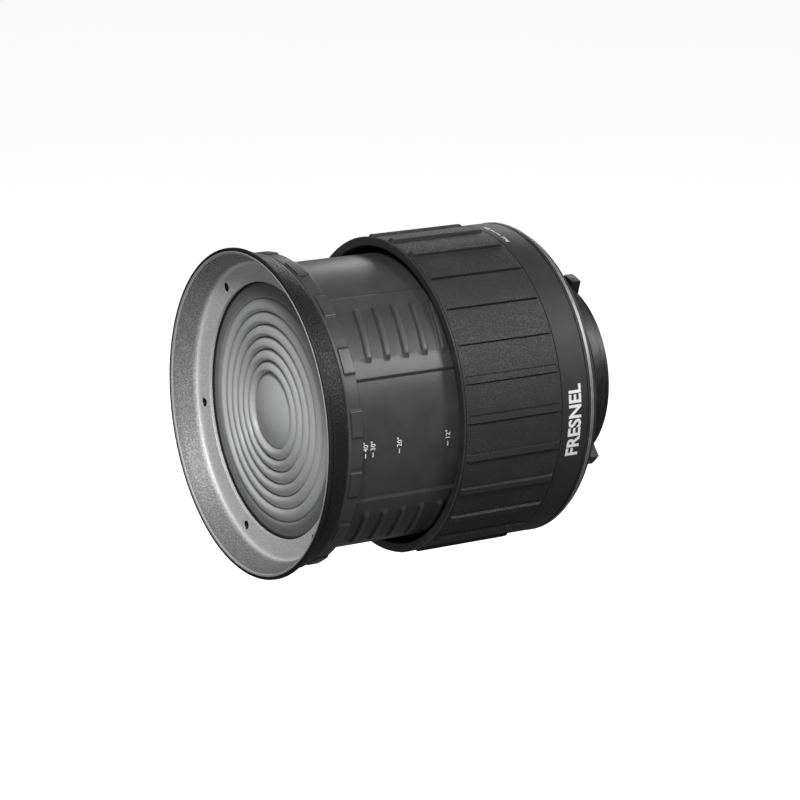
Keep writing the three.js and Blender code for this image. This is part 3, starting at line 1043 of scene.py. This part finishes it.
    def build(self) -> None:
        """Builds the base."""
        self.bayonet()
        self.neck()
        self.cover()
        self.glass()
        self.dress(self.finish.shell, "rear_plate")
        self.dress(self.finish.white, "bearing_ring")
        self.dress(self.finish.inner, "guide_tube", "rear_lens_retainer")
        self.dress(self.finish.felt, "rear_lens_gasket")
        self.dress(self.finish.bright, *(f"guide_screw_{i}" for i in (1, 2, 3)))


# ---- focus ring ----


@dataclass
class FocusRing(Assembly):
    """Turning part: lip ring, rubber sleeve with raised bars, rear band with its markings, and trim ring."""

    body: Body = Body.FOCUS
    skin: float = 89.0
    under: float = 87.7
    bars: int = 26
    bar_first: float = 44.3
    bar_half: float = 1.15
    bar_slope: float = 0.3
    bar_height: float = 1.45
    bar_foot: float = 0.35

    def lip(self) -> None:
        """Front lip: a thin flat ring, undercut behind its outer edge, with a spigot behind it."""
        ext = Extent.of("front_lip_ring")
        lip_rear, spigot, inner = ext.front + 1.1, 85.3, 84.2
        corners = [(inner, ext.front + 0.5), (inner + 0.5, ext.front), (ext.radius - 0.4, ext.front),
                   (ext.radius, ext.front + 0.35), (ext.radius, ext.front + 0.6), (ext.radius - 1.0, lip_rear),
                   (spigot, lip_rear), (spigot, ext.rear), (inner, ext.rear)]
        # Painted highlight on the front edges, painted shade in the undercut and where the lip meets the spigot.
        outline, painted_light = rounded(corners, [0.3, 0.3, 0.15, 0.12, 0.1, 0.15, 0.2, 0.2, 0.2],
                                [0.5, 0.5, 1, 0.6, -1, -1, -1, 0, 0])
        # Painted light: the bore wall gets a full painted highlight, as if lit.
        painted_light = np.where(outline[:, 0] < inner + 0.05, 1.0, painted_light)
        mesh = to_mesh("lip_body", [turned(outline, painted_light, spread(ROUND))], SHARP)
        self.add("lip_body", mesh, self.finish.lip, "lip_satin", "front_lip_ring")

    def sleeve(self) -> None:
        """Rubber sleeve: r = skin + bar height x plateau(theta) x plateau(y), on a grid dense at the bars' flanks."""
        ext = Extent.of("grip_sleeve")
        centres = spread(self.bars, self.bar_first)
        flank = self.bar_half + np.append(self.bar_slope * np.array([-0.7, 0, 0.33, 0.66, 1.0]),
                                          self.bar_slope + self.bar_foot)
        edges = np.concatenate([-flank, flank])[None, :] + centres[:, None]
        theta = lines(spread(ROUND), edges, 0.5, TURN)
        off = [angle_from(theta, c) for c in centres]
        height = sum(plateau(a, -self.bar_half, self.bar_half, self.bar_slope) for a in off)
        foot = sum(plateau(a, -flank[-2], flank[-2], self.bar_foot) for a in off)
        slope = 1.9
        bar_front, bar_rear = ext.front + 2.6, ext.rear - 2.6
        along = np.array([ext.front, ext.front + 0.15, ext.front + 0.4, bar_front - slope, bar_front - 0.7 * slope,
                          bar_front - 0.35 * slope, bar_front, bar_front + 6, (bar_front + bar_rear) / 2, bar_rear - 6,
                          bar_rear, bar_rear + 0.35 * slope, bar_rear + 0.7 * slope, bar_rear + slope, ext.rear - 0.4,
                          ext.rear - 0.15, ext.rear])
        drop = np.array([0.4, 0.12, 0, 0, 0, 0, 0, 0, 0, 0, 0, 0, 0, 0, 0, 0.12, 0.4])
        top = plateau(along, bar_front, bar_rear, slope)
        inside = [[self.under, ext.rear], [self.under, ext.front]]
        outline = np.concatenate([np.stack([self.skin - drop, along], -1), inside])
        top = np.append(top, [0, 0])
        surface = turned(outline, np.zeros(len(outline)), theta, self.bar_height * height[:, None] * top[None, :])
        # Painted shade at the bars' feet and a painted highlight on their tops.
        painted_shade = 0.95 * (foot > 0.99) * (height < 0.95)
        surface.painted_light = top[None, :] * (0.3 * height - painted_shade)[:, None]
        self.add("sleeve_body", to_mesh("sleeve_body", [surface], 30), self.finish.rubber, "grip_rubber", "grip_sleeve")

    def rear_rings(self) -> None:
        """Plain rear band with a groove, and the trim ring behind it."""
        band, trim = Extent.of("rear_band"), Extent.of("trim_ring")
        r = self.skin
        corners = [(self.under, band.front), (r, band.front), (r, band.rear - 2.1), (r - 0.6, band.rear - 1.9),
                   (r - 0.6, band.rear - 1.3), (r, band.rear - 1.1), (r, band.rear), (self.under, band.rear)]
        # Painted highlight on the front edge, painted shade in the groove.
        cuts, edges = [0.1, 0.35, 0.15, 0.1, 0.1, 0.15, 0.2, 0.1], [0, 0.3, 0, -1, -1, 0, 0, 0]
        mesh = ring_mesh("band_body", corners, cuts, edges)
        self.add("band_body", mesh, self.finish.shell, "body_black", "rear_band")
        corners = [(self.under, trim.front), (trim.radius, trim.front), (trim.radius, trim.rear - 0.9),
                   (trim.radius - 0.9, trim.rear), (self.under, trim.rear)]
        mesh = ring_mesh("trim_body", corners, [0.1, 0.25, 0.3, 0.3, 0.1])
        self.add("trim_body", mesh, self.finish.trim, "trim_satin", "trim_ring")

    def seal(self) -> None:
        """Felt ring between the lip and the barrel."""
        ext = Extent.of("light_seal")
        inner = 82.7
        corners = [(inner, ext.front), (ext.radius, ext.front), (ext.radius, ext.rear), (inner, ext.rear)]
        mesh = ring_mesh("seal_felt", corners, 0.6, 0.0, count=96)
        self.add("seal_felt", mesh, self.finish.felt, "seal_black", "light_seal")

    def markings(self) -> None:
        """The kind of lens in large letters on the rear band, and the zoom arrow with its two words."""
        kind = text("FRESNEL", 11.0, bold=0.028)
        kind.transform(Matrix.Translation((-25.5, 0, 0)))
        mesh = wrapped("kind_letters", [kind], self.skin, -0.5, -39.6)
        self.add("kind_letters", mesh, self.finish.ink, "bearing_white")
        sharpness, size = 12.0, 3.0
        arrow = [bar(0, 0, 7.0, 0.4), bar(-4.2, 0, 1.8, 1.5, tip=sharpness), bar(4.2, 0, 1.8, 1.5, tip=1 / sharpness),
                 text("Flood", size), text("Spot", size)]
        arrow[3].transform(Matrix.Translation((-14.0, 0, 0)))
        arrow[4].transform(Matrix.Translation((6.4, 0, 0)))
        self.add("zoom_arrow", wrapped("zoom_arrow", arrow, self.skin, 82.0, -43.5), self.finish.ink, "bearing_white")

    def build(self) -> None:
        """Builds the focus ring."""
        self.lip()
        self.sleeve()
        self.rear_rings()
        self.seal()
        self.markings()
        self.dress(self.finish.shell, "focus_shell")
        self.dress(self.finish.inner, "cam_tube")


# ---- barrel ----


@dataclass
class Barrel(Assembly):
    """Sliding part: tube with finger pads and a scale, front flange with teeth, silver bezel and fresnel lens."""

    body: Body = Body.BARREL
    bore: float = 76.5
    pads: tuple[float, ...] = (40.7, -44.7, 135.3, 220.7)
    pad_half: float = 17.5
    pad_slope: float = 1.15
    pad_height: float = 1.1
    pad_front: float = -174.0
    pad_rear: float = -101.0
    ribs: int = 5
    rib_first: float = -159.9
    rib_pitch: float = 11.75
    rib_half: float = 12.0
    rib_slant: float = 3.6
    rib_height: float = 1.35
    teeth: int = 16
    tooth_first: float = 7.25
    tooth_half: float = 4.4
    tooth_slope: float = 0.8
    tooth_height: float = 0.75
    screw_radius: float = 78.0
    screw_first: float = 8.5
    dome: float = 6.0

    def rib_profile(self, ext: Extent) -> tuple[np.ndarray, np.ndarray, np.ndarray]:
        """Positions along the tube, with the height of the ribs there, a slow rise and a steep fall, and the painted
        shade on their walls.

        Args:
            ext: Extent of the tube.

        Returns:
            The positions, heights from 0 to 1 and painted shade from -1 to 0.
        """
        middles = self.rib_first + self.rib_pitch * np.arange(self.ribs)
        rise, crest, fall = 2.0, 2.1, 0.45
        start = -(rise + crest + fall) / 2
        knots = start + np.array([0, 0.5, 1.0, 1.5, rise, rise + 0.35, rise + crest - 0.25, rise + crest,
                                  rise + crest + fall / 2, rise + crest + fall])
        level = [0, 0.2, 0.52, 0.85, 0.98, 1.0, 0.98, 0.9, 0.45, 0.0]
        # Painted shade on the rib's walls, strongest on the rise and on the fall.
        painted_shade = [0.3, 0.9, 1.0, 0.9, 0.2, 0, 0, 0.5, 1.0, 0.4]
        where = (middles[:, None] + knots[None, :]).ravel()
        ends = [self.pad_front, self.pad_front + 0.5, self.pad_front + 1, self.pad_rear - 1, self.pad_rear - 0.5,
                self.pad_rear, ext.front, ext.front + 0.4, ext.rear - 0.4, ext.rear]
        along = lines(np.linspace(ext.front, ext.rear, 34), np.concatenate([where, ends]), 0.8)
        height = np.interp(along, where, np.tile(level, self.ribs))
        return along, height, -np.interp(along, where, np.tile(painted_shade, self.ribs))

    def tube(self) -> None:
        """Tube with four raised pads, each with five slanted ribs.

        r = radius + pad height x plateau(theta) x plateau(y) + rib height x plateau(theta) x profile(y). The rows of
        the grid lean with the ribs: y = y + slant (theta - centre) / rib length, faded to nothing at the pad's ends.
        """
        ext = Extent.of("barrel_tube")
        along, rib_along, rib_shade = self.rib_profile(ext)
        pad_along = plateau(along, self.pad_front + 1, self.pad_rear - 1, 1.0)
        flank = self.pad_slope * np.array([-0.35, 0, 0.33, 0.66, 1.0, 1.25])
        taper = 2.4
        end = self.rib_half - np.linspace(0, taper, 5)
        offsets = np.concatenate([-self.pad_half - flank, self.pad_half + flank, -end, end])
        theta = lines(spread(ROUND), offsets[None, :] + np.array(self.pads)[:, None], 0.5, TURN)
        relief, shift, painted_light = np.zeros((3, len(theta), len(along)))
        fade = plateau(along, -165.0, -106.0, 6.0)
        for centre in self.pads:
            off = angle_from(theta, centre)
            pad = plateau(off, -self.pad_half, self.pad_half, self.pad_slope)
            rib = plateau(off, -self.rib_half + taper, self.rib_half - taper, taper)
            relief += self.pad_height * pad[:, None] * pad_along[None, :]
            relief += self.rib_height * rib[:, None] * rib_along[None, :]
            hand = np.sign(np.sin(np.radians(2 * centre)))
            lean = np.clip(off / (2 * self.rib_half), -0.5, 0.5) * self.rib_slant * hand
            inside = plateau(off, -self.rib_half, self.rib_half, 3.0)
            shift += lean[:, None] * inside[:, None] * fade[None, :]
            # Painted highlight on each pad's upper edge and painted shade at its foot; on the ribs a painted highlight
            # on the crest and painted shade on the walls.
            sides = np.abs(off) - self.pad_half
            foot = plateau(sides, self.pad_slope * 0.3, self.pad_slope, self.pad_slope * 0.3)
            crown = plateau(sides, -0.1, 0.0, 0.3) * (off * hand > 0)
            painted_light += (0.7 * crown - 0.45 * foot)[:, None] * pad_along[None, :]
            painted_light += rib[:, None] * (0.3 * rib_along + rib_shade)[None, :]
        outline = np.stack([np.full(len(along), ext.radius), along], -1)
        outline[[0, -1], 0] -= 0.4
        outline = np.concatenate([outline, [[self.bore, ext.rear], [self.bore, ext.front]]])
        pad2 = ((0, 0), (0, 2))
        surface = turned(outline, np.zeros(len(outline)), theta, np.pad(relief, pad2), np.pad(shift, pad2))
        surface.painted_light = np.pad(np.clip(painted_light, -1, 1), pad2)
        self.add("tube_body", to_mesh("tube_body", [surface], 24), self.finish.barrel, "barrel_plastic", "barrel_tube")

    def flange(self) -> None:
        """Black rim and textured band, turned in one piece. A deep groove parts the band from the collar."""
        ext = Extent.of("front_flange")
        front, rim = ext.front, ext.radius
        corners = [(90.95, front + 0.1), (91.3, front), (rim, front + 0.8), (rim, -195.8), (91.5, -195.4),
                   (89.2, -195.4), (88.9, -195.0), (88.65, -193.0), (89.0, -192.6), (88.25, -184.9), (87.8, -184.3),
                   (84.9, -184.3), (84.9, -183.2), (85.1, -182.8), (85.1, -174.6), (84.8, -174.3), (80.3, -174.3),
                   (80.3, -177.2), (76.2, -177.2), (76.2, -174.6), (73.6, -174.6), (73.6, -180.2), (83.5, -180.2),
                   (84.2, -184.1), (85.4, -187.7), (86.9, -191.6), (87.6, -194.2), (89.5, -196.9), (90.9, -196.9)]
        cuts = [0.1, 0.2, 0.4, 0.25, 0.2, 0.15, 0.2, 0.15, 0.2, 0.3, 0.25] + [0.1] * 18
        # Painted highlight on the rim's front edges and the band's edges, painted shade in the groove behind the rim
        # and in the step behind the band.
        edges = [0, 1, 1, 0, 0, 0, 0, -1, 1, 1, 1, -1, -1] + [0] * 16
        mesh = ring_mesh("flange_body", corners, cuts, edges, 30)
        self.add("flange_body", mesh, self.finish.flange, "flange_black", "front_flange")

    def collar(self) -> None:
        """Collar behind the band, with teeth behind its chamfer: r = radius + tooth height x plateau(theta)."""
        rear = -174.3
        inner, outer = 85.2, 87.0
        corners = [(inner, -183.3), (86.3, -183.3), (outer, -182.5), (outer, -181.5), (outer, -181.2),
                   (outer, rear - 0.5), (outer - 0.5, rear), (inner, rear)]
        # Painted highlight on the chamfer's corners.
        cuts, weights = [0.1, 0.2, 0.3, 0.04, 0.04, 0.2, 0.2, 0.1], [0, 0.4, 0.6, 0, 0, 0, 0, 0]
        outline, painted_light = rounded(corners, cuts, weights)
        group = np.arange(len(outline)) // (STEPS + 1)
        raised = np.isin(group, [4, 5, 6]).astype(float)
        centres = spread(self.teeth, self.tooth_first)
        flank = self.tooth_half + self.tooth_slope * np.array([-0.3, 0, 0.33, 0.66, 1.0, 1.25])
        edges = np.concatenate([-flank, flank])[None, :] + centres[:, None]
        theta = lines(spread(ROUND), edges, 0.5, TURN)
        off = [angle_from(theta, c) for c in centres]
        height = sum(plateau(a, -self.tooth_half, self.tooth_half, self.tooth_slope) for a in off)
        foot = sum(plateau(a, -flank[-1], flank[-1], 0.05) for a in off)
        surface = turned(outline, painted_light, theta, self.tooth_height * height[:, None] * raised[None, :])
        # No painted highlight on the flat between the teeth, and painted shade at the teeth's feet.
        no_highlight = np.isin(group, [3]) * (1 - height)[:, None]
        painted_shade = 0.45 * (foot * (height < 0.95))[:, None] * raised[None, :]
        surface.painted_light = np.clip(surface.painted_light * (1 - no_highlight) - painted_shade, -1, 1)
        self.add("collar_body", to_mesh("collar_body", [surface], 30), self.finish.barrel, "barrel_plastic")

    def bezel(self) -> None:
        """Silver bezel: a bevel that curves in from the rim to a flat ledge with six screw holes."""
        ext = Extent.of("front_bezel")
        inner = 71.8
        corners = [(inner, -182.4), (82.0, -183.6), (83.0, -184.4), (84.4, -188.0), (85.9, -192.0), (87.0, -194.6),
                   (89.0, ext.front + 0.4), (89.7, ext.front), (90.2, ext.front + 0.2), (90.2, ext.front + 0.7),
                   (89.5, ext.front + 0.7), (87.4, -194.4), (86.6, -191.7), (85.1, -187.8), (83.9, -184.2),
                   (83.2, -180.5), (inner, -180.5)]
        cuts = [0.3, 0.6, 0.6, 1.5, 1.5, 1.2, 0.9, 0.33, 0.2, 0.1, 0.2, 0.3, 0.3, 0.3, 0.3, 0.3, 0.2]
        # Painted highlight on the inner edge and the outer rim, painted shade behind the rim.
        edges = [0.6, 1, 1, 0, 0, 0, 1, 1, 1, -1] + [0] * 7
        mesh = ring_mesh("bezel_body", corners, cuts, edges, 30)
        angles = spread(6, self.screw_first)
        hole = np.array([[0, -190], [2.6, -190], [2.6, -179], [0, -179]], float)
        cutters = [local_turned(hole, np.zeros(4), self.screw_radius, a, spread(32)) for a in angles]
        self.add("bezel_body", carve(mesh, cutters, 30), self.finish.silver, "bezel_silver", "front_bezel")
        face = Extent.of("bezel_screw_1").front + 1.1
        screws = SocketScrews(self.screw_radius, angles, face, -1, tall=0.75, length=3.4, cup=1.5)
        self.add_screws("bezel_screw", screws, self.finish.steel)

    def lens(self) -> None:
        """Fresnel lens: a domed centre and seven zones, each a rounded ridge with sharp valleys beside it.

        Within a zone t runs from 0 to 1 and the height is depth x (1 - |s|^2.2), where s = (t - crest) / crest on the
        inner side and (t - crest) / (1 - crest) on the outer side. The dome adds
        dome x (1 - (r / edge)^2)^0.9.
        """
        ext = Extent.of("fresnel_lens")
        rim, pocket = 70.8, Extent.of("lens_gasket").radius
        bounds = np.array([21.4, 27.8, 34.4, 41.2, 48.0, 55.0, 62.4, rim])
        floor, crest = -179.6, 0.32
        depth = np.array([3.4, 3.3, 3.1, 3.0, 2.8, 2.8, 1.4])
        t = np.array([0.0, 0.04, 0.09, 0.14, 0.2, 0.26, 0.32, 0.43, 0.55, 0.65, 0.75, 0.85, 0.94])
        s = np.where(t < crest, (crest - t) / crest, (t - crest) / (1 - crest))
        inner, outer = bounds[:-1, None], bounds[1:, None]
        zone_r = (inner + (outer - inner) * t[None, :]).ravel()
        zone_y = (floor - depth[:, None] * (1 - s**2.2)[None, :]).ravel()
        r = np.linspace(0, bounds[0], 26)[:-1]
        dome = floor - self.dome * (1 - (r / bounds[0]) ** 2) ** 0.9
        front = np.concatenate([np.stack([r, dome], -1), np.stack([zone_r, zone_y], -1)])
        seat = -179.3
        edge = np.array([[rim, floor], [rim + 0.2, seat], [pocket, seat], [pocket, ext.rear],
                         [pocket / 2, ext.rear], [0, ext.rear]])
        outline = np.concatenate([front, edge])
        painted_light = np.zeros(len(outline))
        # Painted highlight on each ridge's crest, painted shade in each valley.
        ridge = 0.35 * smooth(s, 0.45, 0.0) - 0.55 * smooth(s, 0.75, 1.0)
        painted_light[len(r):len(front)] = np.tile(ridge, len(bounds) - 1)
        mesh = to_mesh("lens_body", [turned(outline, painted_light, spread(256), poles=True)], 50)
        self.add("lens_body", mesh, self.finish.lens, "lens_glass", "fresnel_lens")
        gasket = Extent.of("lens_gasket")
        inner = 71.2
        corners = [(inner, gasket.front), (gasket.radius, gasket.front), (gasket.radius, gasket.rear),
                   (inner, gasket.rear)]
        mesh = ring_mesh("gasket_body", corners, 0.15, 0.0, 30, 128)
        self.add("gasket_body", mesh, self.finish.felt, "seal_black", "lens_gasket")

    def scale(self) -> None:
        """Beam-angle scale: a tick and a number at each of four positions."""
        radius = Extent.of("barrel_tube").radius
        for number, along in ((40, -168.6), (30, -164.0), (20, -147.5), (12, -116.9)):
            words = text(f"{number}°", 4.0)
            words.transform(Matrix.Translation((2.4, 0, 0)))
            mesh = wrapped(f"scale_{number}", [bar(0, 0, 2.6, 0.6), words], radius, -6.7, along)
            self.add(f"scale_{number}", mesh, self.finish.ink, "bearing_white")

    def build(self) -> None:
        """Builds the barrel."""
        self.tube()
        self.flange()
        self.collar()
        self.bezel()
        self.lens()
        self.scale()
        self.dress(self.finish.inner, "lens_retainer")
        self.dress(self.finish.bright, *(f"follower_pin_{i}" for i in (1, 2, 3)))
        self.dress(self.finish.white, *(f"{kind}_{i}" for kind in ("cam_roller", "guide_bush") for i in (1, 2, 3)))


# ---- studio ----


@dataclass(frozen=True)
class Lamp:
    """A soft rectangular light: its name, place in metres, width and height in metres, and power in watts."""

    name: str
    place: tuple[float, float, float]
    size: tuple[float, float]
    power: float


@dataclass
class Studio:
    """Camera, pale floor and soft lights."""

    target: tuple[float, float, float] = (0.0, -0.1, 0.0)
    floor_drop: float = 0.42
    ambient: float = 0.13
    lamps: tuple[Lamp, ...] = (
        Lamp("front_right", (1.25, -0.9, 1.35), (0.4, 0.4), 30),
        Lamp("back_left", (-1.4, 1.2, 0.75), (0.8, 0.6), 8),
        Lamp("side_right", (1.17, 0.84, 0.99), (0.5, 0.5), 13),
        Lamp("low_right", (1.5, -0.7, -0.25), (0.9, 0.25), 3.5),
        Lamp("rear_fill", (0.4, 1.9, 0.9), (0.9, 0.9), 9),
    )

    def camera(self) -> None:
        """Camera turned 58.8 degrees from the front of the lens and raised 14.1 degrees."""
        holder = bpy.data.objects.new("camera", bpy.data.cameras.new("camera"))
        holder.data.lens, holder.data.sensor_width = 144, 36
        axes = ((0.5186, 0.8550, 0.0), (-0.2089, 0.1267, 0.9697), (0.8291, -0.5029, 0.2443))
        turn = Matrix(axes).transposed().to_quaternion()
        holder.rotation_mode = "QUATERNION"
        holder.rotation_quaternion = turn
        holder.location = (1.4988, -1.0080, 0.4370)
        holder.data.clip_start, holder.data.clip_end = 0.05, 60
        bpy.context.scene.collection.objects.link(holder)
        bpy.context.scene.camera = holder

    def floor(self) -> None:
        """Wide flat pale floor with a little light of its own, which sends none of it on to the object."""
        half, count = 14.0, 9
        x, y = np.meshgrid(np.linspace(-half, half, count), np.linspace(-half, half, count), indexing="ij")
        z = -self.floor_drop + 0 * x
        surface = Surface(np.stack([x, y, z], -1) / MM, 0 * x, False, False)
        mesh = bpy.data.meshes.new("floor")
        mesh.from_pydata((surface.points.reshape(-1, 3) * MM).tolist(), [], surface.faces().tolist())
        g = Graph("floor_pale")
        shade = g.noise(400, 2)
        base = g.mix(shade.ramp(0.3, 0.7), (0.93, 0.93, 0.93), (0.95, 0.95, 0.95))
        mesh.materials.append(g.set(Base_Color=base, Roughness=0.9, Emission_Color=(1, 1, 1), Emission_Strength=0.8))
        piece = bpy.data.objects.new("floor", mesh)
        piece.visible_diffuse = piece.visible_glossy = False
        bpy.context.scene.collection.objects.link(piece)

    def light(self, lamp: Lamp) -> None:
        """Adds a light that faces the object.

        Args:
            lamp: What it is.
        """
        data = bpy.data.lights.new(lamp.name, "AREA")
        data.shape, data.size, data.size_y, data.energy = "RECTANGLE", *lamp.size, lamp.power
        holder = bpy.data.objects.new(lamp.name, data)
        holder.visible_camera = False
        holder.location = lamp.place
        aim = Vector(self.target) - holder.location
        holder.rotation_mode = "QUATERNION"
        holder.rotation_quaternion = aim.to_track_quat("-Z", "Y")
        bpy.context.scene.collection.objects.link(holder)

    def build(self) -> None:
        """Sets the studio up."""
        self.camera()
        self.floor()
        world = bpy.data.worlds.new("studio")
        world.use_nodes = True
        backdrop = world.node_tree.nodes["Background"]
        backdrop.inputs["Color"].default_value = (1, 1, 1, 1)
        backdrop.inputs["Strength"].default_value = self.ambient
        bpy.context.scene.world = world
        bpy.context.scene.view_settings.view_transform = "Standard"
        for lamp in self.lamps:
            self.light(lamp)


def main() -> None:
    """Builds the studio and the three sub-assemblies."""
    logging.basicConfig(level=logging.INFO, format="%(name)s %(message)s")
    Studio().build()
    finish = Finishes()
    for assembly in (RearBase(finish), FocusRing(finish), Barrel(finish)):
        log.info("building %s", assembly.body.value)
        assembly.build()


if __name__ == "__main__":
    main()
